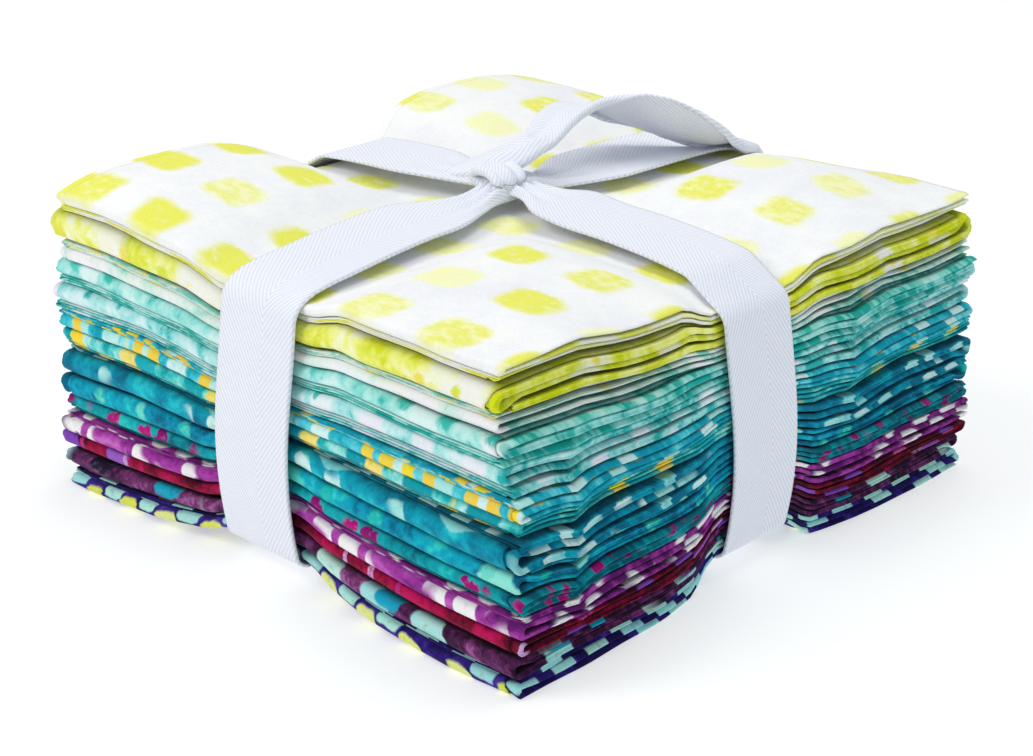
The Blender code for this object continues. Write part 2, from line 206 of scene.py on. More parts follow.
def under_bands(x, y, hollow):
    """Share of the long and the side band's hollow at a place, and both at the edge."""
    long = trough(x - TAPE_X, HOLLOW_FLOOR, hollow.long_reach)
    side = trough(y - TAPE_Y, HOLLOW_FLOOR, hollow.side_reach)
    return (long, side, long * near_edge(y, HALF_Y, hollow.long_edge),
            side * near_edge(x, HALF_X, hollow.side_edge))


def top_rise(x, y):
    """How far the stack's top stands above its straight height."""
    long, side, long_rim, side_rim = under_bands(x, y, TOP_HOLLOW)
    valley = 1.0 - (1.0 - long) * (1.0 - side)
    puff = sum(height * hump(x - at_x, reach_x) * hump(y - at_y, reach_y)
               for at_x, at_y, reach_x, reach_y, height in LOBES)
    return (puff * (1.0 - valley) - GROOVE * valley
            - (PINCH_TOP - GROOVE) * np.maximum(long_rim, side_rim))


def bottom_rise(x, y):
    """How far the stack's underside is lifted off the surface it rests on."""
    long, side, long_rim, side_rim = under_bands(x, y, FOOT_HOLLOW)
    channel = 1.0 - (1.0 - long) * (1.0 - side)
    beside = (trough(x - TAPE_X, *FOOT_LIFT_ASIDE) * near_edge(y, HALF_Y, FOOT_LIFT_FROM)
              * (1.0 - channel))
    return (LIFT * channel + (PINCH_BOTTOM - LIFT) * np.maximum(long_rim, side_rim)
            + CROSS_LIFT * long * side + FOOT_LIFT * np.where(y < 0.0, beside, 0.0))


def crease_drop(x, y, s):
    """How far the creases lower a point at height share s."""
    drop = np.zeros_like(x)
    for c in CREASES:
        sign = 1.0 if c.face[0] == "+" else -1.0
        across, along, half, band = ((x, y, HALF_X, TAPE_Y) if c.face[1] == "x"
                                     else (y, x, HALF_Y, TAPE_X))
        inward = ease(1.0 - (half - sign * across) / CREASE_REACH)
        pointed = np.exp(-np.sqrt(((along - c.at) / c.width) ** 2 + CREASE_BLUNT) * CREASE_FALL)
        middle, spread = (c.low + c.high) / 2.0, (c.high - c.low) / 2.0
        level = ease(CREASE_FALL * (1.0 - np.abs(s - middle) / spread))
        free = 1.0 - trough(along - band, *CREASE_ASIDE)
        drop += c.depth * inward * pointed * level * free
    return drop


def corner_in(x, y, s):
    """How far the near corner is drawn in, to be taken off x."""
    level = np.exp(-((s - CORNER_AT) / CORNER_SPREAD) ** 2)
    near_x, near_y = (ease((place - start) / reach)
                      for place, start, reach in zip((x, -y), CORNER_FROM, CORNER_REACH))
    return CORNER_IN * level * near_x * near_y


def lean(way, outward, aside, z):
    """Sideways shift at a place outward along a band and aside from its middle."""
    s = np.clip(z / STACK_HEIGHT, 0.0, 1.0)
    size = (way.low + way.rim * np.exp(-((s - way.rim_at) / way.rim_spread) ** 2)
            + way.foot * np.exp(-(s / FOOT_SPREAD) ** 2))
    flat, reach = LEAN_ASIDE
    beside = 1.0 - ease((np.abs(aside) - flat) / reach)
    return size * ease((outward - way.start) / way.reach) * beside


def as_bands_run(x, y, z):
    """The place's x and y as if the bands did not lean."""
    return x - lean(LEAN_FRONT, -y, x - TAPE_X, z), y + lean(LEAN_RIGHT, x, y - TAPE_Y, z)


def rim_drop(x, y):
    """How far the bands round the stack's top edges off."""
    long_rim, side_rim = under_bands(x, y, RIM_HOLLOW)[2:]
    return np.maximum(RIM_DROP_Y * long_rim, RIM_DROP_X * side_rim)


def drape(x, y, z, bands_lean=True):
    """Carry points of the straight stack to where the tied tape puts them."""
    s = np.clip(z / STACK_HEIGHT, 0.0, 1.0)
    crease = crease_drop(x, y, s)
    place_x, place_y = x - corner_in(x, y, s), y
    if bands_lean:
        x, y = as_bands_run(x, y, z)
    z_new = z + bottom_rise(x, y) * (1.0 - s) ** 1.5 + top_rise(x, y) * s ** 1.5
    z_new -= crease + rim_drop(x, y) * s ** 5
    pull = PULL_MIDDLE + (PULL_RIM - PULL_MIDDLE) * (2.0 * s - 1.0) ** 2
    by_long = trough(x - TAPE_X, PULL_FLAT, PULL_REACH) * near_edge(y, HALF_Y, PULL_FROM_Y)
    by_side = trough(y - TAPE_Y, PULL_FLAT, PULL_REACH) * near_edge(x, HALF_X, PULL_FROM_X)
    y_new = place_y - np.sign(y) * pull * by_long
    x_new = place_x - np.sign(x) * pull * by_side
    return np.stack((x_new, y_new, z_new), axis=-1)


# ---- meshes

def stacked(*parts):
    """The parts side by side along a new last axis."""
    return np.stack(np.broadcast_arrays(*parts), axis=-1)


def running_length(points):
    """Distance along a line of points, starting at 0."""
    steps = np.linalg.norm(np.diff(points, axis=0), axis=1)
    return np.concatenate(((0.0,), np.cumsum(steps)))


def add_object(name, data):
    obj = bpy.data.objects.new(name, data)
    bpy.context.scene.collection.objects.link(obj)
    return obj


def sheet_mesh(name, one_side, other_side, flat, ring=False):
    """A thin closed sheet from the grids of points of its two sides.

    flat holds each grid point's place on the cloth as it was cut, and how deep
    it lies between other layers, which sets its painted shade.  A ring's last row joins its first.
    """
    rows, columns = one_side.shape[:2]
    points = np.concatenate((one_side.reshape(-1, 3), other_side.reshape(-1, 3)))
    index = np.arange(rows * columns).reshape(rows, columns)
    if ring:
        index = np.vstack((index, index[:1]))
    under = index + rows * columns

    a, b, c, d = index[:-1, :-1], index[:-1, 1:], index[1:, 1:], index[1:, :-1]
    upper_faces = np.stack((a, b, c, d), -1).reshape(-1, 4)
    faces = [upper_faces, upper_faces[:, (0, 3, 2, 1)] + rows * columns]
    rims = [(index[:, 0], under[:, 0], 1), (index[:, -1], under[:, -1], -1)]
    if not ring:
        rims += [(index[0], under[0], -1), (index[-1], under[-1], 1)]
    for upper, lower, turn in rims:
        quad = np.stack((upper[:-1], upper[1:], lower[1:], lower[:-1]), -1)
        faces.append(quad[:, ::turn])

    mesh = bpy.data.meshes.new(name)
    mesh.from_pydata(((points + CENTRE) * MM).tolist(), [], np.concatenate(faces).tolist())
    attribute = mesh.attributes.new("cut", "FLOAT_VECTOR", "POINT")
    place = np.concatenate((flat.reshape(-1, 3), flat.reshape(-1, 3)))
    attribute.data.foreach_set("vector", place.astype(np.float32).ravel())
    mesh.shade_smooth()
    return add_object(name, mesh)


def grid_normals(grid, ring=False):
    """Unit normals of a grid of points."""
    if ring:
        along = np.roll(grid, -1, axis=0) - np.roll(grid, 1, axis=0)
    else:
        along = np.gradient(grid, axis=0)
    normal = np.cross(along, np.gradient(grid, axis=1))
    return normal / np.maximum(np.linalg.norm(normal, axis=-1, keepdims=True), 1e-9)


# ---- cloths

# Where the cloth may bend, closest where it dips under a band.
X_STATIONS = (-68, -60, -52, -45, -40, -36, -32.5, -29, -25.5, -22, -18.5, -13,
              -5, 3, 9, 12.5, 16, 19.5, 23, 26.5, 30, 35, 42, 50, 59, 67)
Y_STATIONS = (-70.5, -66, -61.5, -56, -50, -44, -39, -34.5, -30.5, -27, -23.5, -20, -16.5,
              -12, -5, 3, 9, 13.5, 17, 20.5, 23.5, 26.5, 30, 34, 39, 47, 56, 66)

# The rolled folds along Y and the folded ends along X.
#   close   places near a fold where the cloth may bend too, measured from it
#   steps   in the fold itself
#   swell   length over which the fold swells
#   square  2 rolls it round, and more presses it flatter
#   dark    how far in from the fold the painted shade in the gaps is at its darkest
Fold = namedtuple("Fold", "stations close steps swell square dark")
Y_FOLD = Fold(Y_STATIONS, (0.0, 1.3, 2.9, 5.0, 8.5), 6, 5.0, 2.6, 3.2)
X_FOLD = Fold(X_STATIONS, (0.0, 0.9, 1.8, 2.8, 5.0), 5, 2.4, 2.0, 1.5)
FOLD_DEPTH = 0.85  # how far a rolled fold stands out, as a share of its half height
END_DEPTH = 0.8    # same for a folded end
END_DEPTH_LEAST = 0.32
SWELL_ROOM = 0.9  # how much of the next layer's height a fold may swell into
EDGE_ROOM = 0.4   # from a swollen fold to the free edge behind it

# How uneven the cloths are: how far a layer or a ply stands out at the ends, and
# the size and length of the slow wave along an edge.
STAGGER = 0.55
PLY_STAGGER = 0.5
END_WAVE = (0.55, 74.0)
FOLD_WAVE = (0.5, 90.0)
PRESSED = (13.0, 40.0)   # how far aside a band presses that flat, and where no more
UNEVEN_X = (30.0, 40.6)  # from where along X it comes in, and over what length
UNEVEN_Y = (52.0, 24.0)  # same along Y
SKEW_FROM = 56.0         # from where along Y a fold runs askew


def run_places(start, end, fold):
    """Places from start to end: the stations, and some close together at both ends."""
    way = math.copysign(1.0, end - start)
    clear = fold.close[-1] + 1.0
    inner = [place for place in fold.stations[::int(way)]
             if way * (place - start) > clear and way * (end - place) > clear]
    near = np.array(fold.close)
    return np.concatenate((start + way * near, inner, end - way * near[::-1]))


def folded_in_three(fold, side, reach, tuck, depth, first, pitch, rise):
    """Line through three layers and the two folds that join them.

    It starts at side, -1 or 1.  reach is how far the folds go to either side, and
    tuck how far the free edges stay behind them.  Each fold is depth long and rise
    higher than the pitch of the layers.  Returns points (along, up) and their layers.
    """
    centre = {s: s * (reach[s] - depth) for s in (-1, 1)}
    start = side * (reach[side] - tuck)
    angle = np.linspace(0.0, math.pi, fold.steps + 2)[1:-1]
    power = 2.0 / fold.square
    turn_out = np.sin(angle) ** power
    turn_up = 0.5 * (1.0 - np.sign(np.cos(angle)) * np.abs(np.cos(angle)) ** power)
    points, layers = [], []
    for layer in range(3):
        end = centre[-side] if layer < 2 else -side * (reach[-side] - tuck)
        along = run_places(start, end, fold)
        up = np.full_like(along, first + layer * pitch)
        if layer == 1:
            # The middle layer swells towards whichever free edge lies beside it.
            for s, way in ((side, 1.0), (-side, -1.0)):
                up += way * rise * ease((s * (along - centre[s]) + fold.swell) / fold.swell)
        points.append(np.column_stack((along, up)))
        layers.append(np.full_like(along, layer))
        if layer == 2:
            break
        side = -side
        start = centre[side]
        low = first + layer * (pitch - rise)
        points.append(np.column_stack((start + side * depth * turn_out, low + (pitch + rise) * turn_up)))
        layers.append(layer + angle / math.pi)
    return np.concatenate(points), np.concatenate(layers)


def fold_line(cloth, base):
    """Line (y, z) through the cloth's layers, each point's layer, and their thickness."""
    thick = (cloth.height - CLOTH_GAP - 2.0 * cloth.layer_gap) / 3.0
    pitch = thick + cloth.layer_gap
    rise = cloth.cover * SWELL_ROOM * pitch
    reach = {-1: HALF_Y + cloth.front - thick / 2.0, 1: HALF_Y + cloth.back - thick / 2.0}
    tuck = max(cloth.tuck, cloth.cover * (Y_FOLD.swell + EDGE_ROOM)) - thick / 2.0
    side = 1 if cloth.roll == "lower" else -1
    first = base + (CLOTH_GAP + thick) / 2.0
    depth = FOLD_DEPTH * (pitch + rise) / 2.0
    line, layers = folded_in_three(Y_FOLD, side, reach, tuck, depth, first, pitch, rise)
    return line, layers, thick


def end_line(cloth, thick):
    """Line (x, h) through a layer's three plies, h being measured from its middle."""
    gap = (thick - PLY) / 2.0
    reach = {-1: HALF_X + cloth.left, 1: HALF_X + cloth.right}
    tuck = cloth.lap * (X_FOLD.swell + EDGE_ROOM) + EDGE_ROOM
    depth = max(END_DEPTH * gap, END_DEPTH_LEAST)
    return folded_in_three(X_FOLD, -1, reach, tuck, depth, -gap, gap, cloth.lap * gap)[0]


def line_normals(line):
    """Unit normals of a flat line of points, to its left."""
    step = np.gradient(line, axis=0)
    normal = np.column_stack((-step[:, 1], step[:, 0]))
    return normal / np.linalg.norm(normal, axis=1, keepdims=True)


def uneven_ends(number, cloth, layers, h, x, y, z):
    """x with its ends at -X and +X uneven: each layer its own, and slowly along the edge."""
    whole = np.round(layers)
    for side in (-1.0, 1.0):
        stagger = STAGGER * np.sin(2.3 * number + 1.7 * layers + 0.9 * side)
        plies = PLY_STAGGER * np.sin(4.1 * number + 2.6 * whole + 5.0 * h)
        size, length = END_WAVE
        uneven = stagger + plies + size * wave(y, number + 0.37 * whole + side, length)
        band_y = as_bands_run(x, y, z)[1]
        calm = 1.0 - EVENED * trough(band_y - TAPE_Y, *PRESSED)
        reach = cloth.left if side < 0 else cloth.right
        shift = uneven * calm - reach * (1.0 - calm)
        x = x + side * shift * ease((side * x - UNEVEN_X[0]) / UNEVEN_X[1])
    return x


def uneven_folds(number, cloth, x, y, z):
    """y with its rolled folds uneven and askew, which a band presses flat."""
    pressed = EVENED * trough(as_bands_run(x, y, z)[0] - TAPE_X, *PRESSED)
    for side in (-1.0, 1.0):
        out = cloth.front if side < 0 else cloth.back
        size, length = FOLD_WAVE
        shift = size * wave(x, number + 4.0 + side, length) * (1.0 - pressed) - out * pressed
        y = y + side * shift * ease((side * y - UNEVEN_Y[0]) / UNEVEN_Y[1])
    return y + cloth.skew * x / HALF_X * (1.0 - pressed) * near_edge(y, HALF_Y, SKEW_FROM)


def depth_in_gap(number, cloth, layers, section, across):
    """How deep each point lies in the gap beside it, for the shade painted there: 0 on the outside, 1
    well inside.
    """
    end_x = HALF_X + np.where(across[:, 0] > 0, cloth.right, cloth.left)
    end_y = HALF_Y + np.where(section[:, 0] > 0, cloth.back, cloth.front)
    inside = np.minimum((end_x - np.abs(across[:, 0]))[None, :] / X_FOLD.dark,
                        (end_y - np.abs(section[:, 0]))[:, None] / Y_FOLD.dark)
    inside = np.clip(inside, 0.0, 1.0)
    if number == len(CLOTHS) - 1:
        inside *= 0.0
    elif number == 0:
        inside *= np.where(layers < 0.6, 0.0, 1.0)
    return inside


def place_on_cut(cloth, layers, thick, section, across):
    """Each point's place on the flat cut, from the stack's middle and the -Y fold."""
    u, v = running_length(across), running_length(section)
    outermost = across[:, 1] * cloth.flip > 0.3 * (thick - PLY) / 2.0
    order = np.argsort(across[outermost, 0])
    u = u - np.interp(0.0, across[outermost, 0][order], u[outermost][order])
    front_fold = np.argmin(np.abs(layers - (0.5 if cloth.roll == "lower" else 1.5)))
    return u[None, :], cut_way(cloth) * (v - v[front_fold])[:, None]


def cut_way(cloth):
    """Which way the flat cut runs along the cloth's section."""
    return -1.0 if cloth.roll == "lower" else 1.0


def build_cloth(number, cloth, base):
    """One cut, folded in thirds across the stack and then along it."""
    section, layers, thick = fold_line(cloth, base)
    across = end_line(cloth, thick)
    section_out = line_normals(section)
    across_out = line_normals(across)
    by_layer = layers[:, None]

    sides = []
    for offset in (PLY / 2.0, -PLY / 2.0):
        x = np.broadcast_to(across[:, 0] + offset * across_out[:, 0], (len(section), len(across)))
        h = cloth.flip * (across[:, 1] + offset * across_out[:, 1])
        y = section[:, :1] + section_out[:, :1] * h
        z = section[:, 1:] + section_out[:, 1:] * h
        x = uneven_ends(number, cloth, by_layer, across[:, 1], x, y, z)
        y = uneven_folds(number, cloth, x, y, z)
        sides.append(drape(x, y, z))
    if (cut_way(cloth) > 0) != (cloth.flip > 0):
        sides.reverse()

    u, v = place_on_cut(cloth, layers, thick, section, across)
    # How deep each point lies in a gap, which sets the shade painted on it.
    inside = depth_in_gap(number, cloth, by_layer, section, across)
    return sheet_mesh(cloth.name + "_folds", *sides, stacked(u, v, inside))


# ---- tape

# Rises as in the solids: slack is how high each run bridges the cloth on top, over
# and under the steps at the knot and at the crossing below, and ridge the climb of the
# gathered middle into the knot.  width is what the tied tape keeps of its own, and
# reach the length over which it gathers.
Band = namedtuple("Band", "name along half middle slack_minus slack_plus over under ridge width "
                          "reach_minus reach_plus")
BANDS = (
    Band("tape_band_long", "y", HALF_Y, TAPE_Y, 2.4, 2.4, 2.2, 0.0, 3.4, 25.3, 27.0, 27.0),
    Band("tape_band_side", "x", HALF_X, TAPE_X, 4.2, 2.2, 3.7, -1.5, 1.2, 23.2, 27.0, 15.0),
)
BAND_COLUMNS = 31
BAND_STEPS = 84        # along the top and along the bottom
FACE_STEPS = 26        # up a face
CORNER_STEPS = 9       # round a corner
TOP_TURN = 5.0         # radius to which a band turns over the stack's top edge
FOOT_TURN = 2.4        # same below
CROSSING = 12.5        # to where from the crossing a band has its step over or under
CROSSING_REACH = 20.0  # and how soon the step is gone
GATHERED = 6.0         # to where from the knot a band is at its narrowest
RIDGE_FROM = 3.0       # to where its ridge is whole
RIDGE_REACH = 12.0     # and how soon that is gone
PLEAT_DEPTH = 0.7
PLEATS = 3


def band_route(band):
    """Closed route of a band on the straight stack: run, z, out_run, out_z, top."""
    half, low, high = band.half + FACE_ROOM, FOOT_TURN, TOP_TURN
    flat = np.linspace(-1.0, 1.0, BAND_STEPS)
    upright = np.linspace(low, STACK_HEIGHT - high, FACE_STEPS)
    corner = np.radians(np.linspace(0.0, 90.0, CORNER_STEPS)[1:-1])
    sine, cosine = np.sin(corner), np.cos(corner)
    face = np.concatenate((
        stacked(half - low + low * sine, low - low * cosine, sine, -cosine, 0.0),
        stacked(half, upright, 1.0, 0.0, 0.0),
        stacked(half - high + high * cosine, STACK_HEIGHT - high + high * sine, cosine, sine, 0.0)))
    other_face = face[::-1] * (-1.0, 1.0, -1.0, 1.0, 1.0)
    return np.concatenate((stacked(flat * (half - low), 0.0, 0.0, -1.0, 0.0), face,
                           stacked(flat[::-1] * (half - high), STACK_HEIGHT, 0.0, 1.0, 1.0), other_face))


def gathered_band(band, run, out_z, top, across):
    """How far aside and up each point of a band lies from its middle line."""
    far = np.abs(run - band.middle)
    on_top = np.where(top > 0, 1.0, 0.0)
    centre = 1.0 - ease((far - CROSSING) / CROSSING_REACH)
    slack = np.where(run < band.middle, band.slack_minus, band.slack_plus)
    bridge = slack * (1.0 - np.abs(run / band.half) ** 3) * (1.0 - centre) + band.over * centre
    reach = np.where(run < band.middle, band.reach_minus, band.reach_plus)
    gather = on_top * (1.0 - ease((far - GATHERED) / reach))
    ridge = on_top * band.ridge * ease(1.0 - (far - RIDGE_FROM) / RIDGE_REACH)
    rise = (on_top * bridge + np.where(out_z < -0.99, band.under * centre, 0.0)
            + PLEAT_DEPTH * gather * np.cos(across * 2.0 * math.pi * PLEATS)
            + ridge * np.cos(across * math.pi) ** 0.5)
    return across * (band.width - (band.width - WAIST_WIDTH) * gather), rise


def build_band(band):
    """A closed ring of tape round the draped stack.  Returns it and its length."""
    route = band_route(band)
    run, z, out_run, out_z, top = (route[:, k:k + 1] for k in range(5))
    across = np.linspace(-0.5, 0.5, BAND_COLUMNS)[None, :]
    aside, rise = gathered_band(band, run, out_z, top, across)
    if band.along == "y":
        middle = drape(np.full_like(run, TAPE_X), run, z, bands_lean=False)
        middle[..., 0] += lean(LEAN_FRONT, -run, 0.0, z)
    else:
        middle = drape(run, np.full_like(run, TAPE_Y), z, bands_lean=False)
        middle[..., 1] -= lean(LEAN_RIGHT, run, 0.0, z)
    way = "xy".index(band.along)
    place = np.repeat(middle, BAND_COLUMNS, axis=1)
    place[..., 1 - way] += aside
    place[..., way] += out_run * TAPE_CLEAR
    place[..., 2] += out_z * TAPE_CLEAR + rise

    out = grid_normals(place, ring=True)
    if np.mean(out[..., 2] * top) < 0:
        out = -out
    length = running_length(place[:, BAND_COLUMNS // 2])
    return tape_mesh(band.name + "_twill", place, out, across * TAPE_WIDTH, length, True), length[-1]


def tape_mesh(name, place, out, arc, length, ring=False):
    """Woven tape round a grid of points, with each column's place across it."""
    half = out * TAPE_PLY / 2.0
    return sheet_mesh(name, place + half, place - half, stacked(arc, length[:, None], 0.0), ring)


# The free end from the knot over the top and down the +Y face, from its sixth stop on
# as in the solids: places on the tape's two edges, and its bulge between them.
TAIL = (
    ((-27, 9.5, 77.6), (-24, -3, 77.3), -0.3),
    ((-21.5, 11, 79.6), (-17.5, -1.5, 78.6), -1.2),
    ((-16.5, 12.2, 82.4), (-10.5, 0.8, 80.6), -1.8),
    ((-13.5, 12, 84.4), (-5, 4.6, 82.6), -1.4),
    ((-13, 14, 86), (-3.4, 9.5, 85), -0.6),
    ((-13.5, 16.5, 87), (-3.9, 17, 86.4), 0.6),
    ((-17, 24.5, 89.4), (-5, 24, 89.2), 0.8),
    ((-19.5, 34.5, 89.8), (-6.2, 31, 91), 0.8),
    ((-19, 44.5, 86.6), (-5.6, 37, 92.6), 0.4),
    ((-16, 51, 83.2), (-2, 42.5, 93.4), 1),
    ((-9.7, 56.5, 80), (4.4, 46, 93.7), 2),
    ((-2.5, 63, 77.2), (10, 53.5, 90.6), 2.4),
    ((2.6, 70.5, 75.6), (15, 60.5, 85.2), 2),
    ((3.6, 78.5, 74.6), (14.2, 68, 79.8), 0.6),
    ((1.6, 85.8, 73), (12.2, 76.5, 75), -0.6),
    ((-1.8, 89.4, 67.6), (9, 85.2, 72.6), -1),
    ((-5, 89.8, 60), (9.6, 89.2, 66), -0.8),
    ((-5.5, 89.8, 51), (12, 89.8, 56), -0.4),
)
TAIL_ROWS = 150
TAIL_COLUMNS = 37
TAIL_KEPT = 0.86  # share of the woven width that a tied tape keeps
TAIL_ROLL = 0.9   # radius to which the tape's edges curl under
TAIL_PLEATS = 2
ROOT_REACH = 0.55  # share of the length by which the pleats have run out
ROOT_START = 0.12  # and by which they are there


def smooth_through(values, count):
    """Catmull-Rom curve through the values, at count even steps."""
    values = np.asarray(values, float)
    if values.ndim == 1:
        values = values[:, None]
    padded = np.vstack((2 * values[0] - values[1], values, 2 * values[-1] - values[-2]))
    t = np.linspace(0.0, len(values) - 1.000001, count)
    k = t.astype(int)
    f = (t - k)[:, None]
    p0, p1, p2, p3 = (padded[k + j] for j in range(4))
    return 0.5 * (2 * p1 + (p2 - p0) * f + (2 * p0 - 5 * p1 + 4 * p2 - p3) * f ** 2
                  + (3 * p1 - p0 - 3 * p2 + p3) * f ** 3)


def curled_section(width, radius, arc):
    """Across and down offsets of a tape whose edges curl under to a width.

    width has a row for each step along the tape, and arc a column for each
    place across it as it was woven.
    """
    half = width / 2.0
    spare = np.maximum(arc.max() - half, 1e-4) / radius
    # An arc of angle a takes up a - sin(a), about a cubed over 6, or a - 1 further on.
    angle = np.minimum(np.where(spare < 0.57, np.cbrt(6.0 * spare), spare + 1.0), math.pi)
    flat = half - radius * np.sin(np.minimum(angle, math.pi / 2.0))
    side, far = np.sign(arc), np.abs(arc)
    turned = np.clip((far - flat) / radius, 0.0, angle)
    beyond = np.maximum(far - flat - radius * angle, 0.0)
    across = np.minimum(far, flat) + radius * np.sin(turned) + beyond * np.cos(angle)
    down = radius * (1.0 - np.cos(turned)) + beyond * np.sin(angle)
    return side * across, down


def build_tail():
    """The tape's free end, with curled edges and pleats at its root."""
    far, near, bulge = (smooth_through(column, TAIL_ROWS) for column in zip(*TAIL))
    out = np.cross(np.gradient((far + near) / 2.0, axis=0), near - far)
    out /= np.linalg.norm(out, axis=1, keepdims=True)
    width = np.linalg.norm(near - far, axis=1)[:, None]
    arc = np.linspace(-0.5, 0.5, TAIL_COLUMNS)[None, :] * TAPE_WIDTH
    across, down = curled_section(width, TAIL_ROLL, TAIL_KEPT * arc)
    t = across / width + 0.5
    travel = np.linspace(0.0, 1.0, TAIL_ROWS)[:, None]
    gathered = np.clip(1.0 - width / TAPE_WIDTH, 0.0, 1.0)
    root = ease(1.0 - travel / ROOT_REACH) * ease(travel / ROOT_START)
    pleats = gathered * root * np.cos(t * 2.0 * math.pi * TAIL_PLEATS + 0.6)
    lift = bulge * 4.0 * t * (1.0 - t) + pleats + down
    place = (far[:, None] + (near - far)[:, None] * t[..., None]
             + out[:, None] * lift[..., None])
    length = running_length(place[:, TAIL_COLUMNS // 2])
    return tape_mesh("free_end_twill", place, grid_normals(place), arc, length), length[-1]


# The knot's own turn of tape, gathered to a narrow collar round the crossing.
COLLAR_CENTRE = np.array((-8.2, 0.6, 78.8))
COLLAR_HEADING = math.radians(-20.0)  # from +X to the collar's width
COLLAR_TILT = 0.12                    # how far its axis rises
COLLAR_WIDTH, COLLAR_HEIGHT = 12.8, 6.0
COLLAR_BREADTH = 8.4  # to which the tape's width is gathered
COLLAR_UNEVEN = 0.12  # share by which that varies
COLLAR_SKEW = 0.5     # how far it lies along the axis on one side, and back on the other
COLLAR_ROLL = 0.8     # radius to which its edges are rolled under
TURNED_UNDER = 1.3    # how far they run back below it, as a share of half its breadth
RIPPLE = 0.74         # depth of the ripples between them
RIPPLES = 1.5
COLLAR_ROWS = 90
COLLAR_COLUMNS = 61


def gathered_section(arc):
    """Across and down offsets of the gathered tape at places across its width."""
    half = COLLAR_BREADTH / 2.0 - COLLAR_ROLL
    flat = TAPE_WIDTH / 2.0 - math.pi * COLLAR_ROLL - TURNED_UNDER * half
    side, far = np.sign(arc), np.abs(arc)
    ripple = RIPPLE * np.cos(arc / flat * math.pi * RIPPLES)
    turned = np.clip((far - flat) / COLLAR_ROLL, 0.0, math.pi)
    back = np.maximum(far - flat - math.pi * COLLAR_ROLL, 0.0)
    across = side * (np.minimum(far / flat, 1.0) * half + COLLAR_ROLL * np.sin(turned) - back)
    down = COLLAR_ROLL * (1.0 - np.cos(turned)) - ripple * ease(2.0 * (1.0 - far / flat))
    return across, down


def build_collar():
    """The knot's collar.  Returns it and the mean length of its threads."""
    side = np.array((math.cos(COLLAR_HEADING), math.sin(COLLAR_HEADING), 0.0))
    axis = np.array((-side[1], side[0], COLLAR_TILT))
    angle = np.linspace(0.0, 2.0 * math.pi, COLLAR_ROWS + 1)[:-1, None]
    arc = np.linspace(-0.5, 0.5, COLLAR_COLUMNS) * TAPE_WIDTH
    across, down = gathered_section(arc)
    across = across * (1.0 + COLLAR_UNEVEN * wave(angle, 3.0, 5.0)) + COLLAR_SKEW * np.cos(angle)
    right = (COLLAR_WIDTH / 2.0 - down) * np.cos(angle)
    up = (COLLAR_HEIGHT / 2.0 - down) * np.sin(angle)
    place = (COLLAR_CENTRE + side * right[..., None] + np.array((0.0, 0.0, 1.0)) * up[..., None]
             + axis * across[..., None])
    lines = [running_length(np.vstack((line, line[:1]))) for line in place.transpose(1, 0, 2)]
    out = -grid_normals(place, ring=True)
    obj = tape_mesh("knot_turn", place, out, arc[None, :], lines[COLLAR_COLUMNS // 2][:-1], True)
    return obj, np.mean([line[-1] for line in lines])


# ---- materials

def srgb(codes):
    """Linear colours from hex codes."""
    colours = []
    for code in codes.split():
        parts = [value / 255.0 for value in bytes.fromhex(code)]
        linear = [p / 12.92 if p <= 0.04045 else ((p + 0.055) / 1.055) ** 2.4 for p in parts]
        colours.append((*linear, 1.0))
    return colours


def set_inputs(node, **values):
    """Set a node's inputs.  _ stands for the space in an input's name."""
    for name, value in values.items():
        node.inputs[name.replace("_", " ")].default_value = value


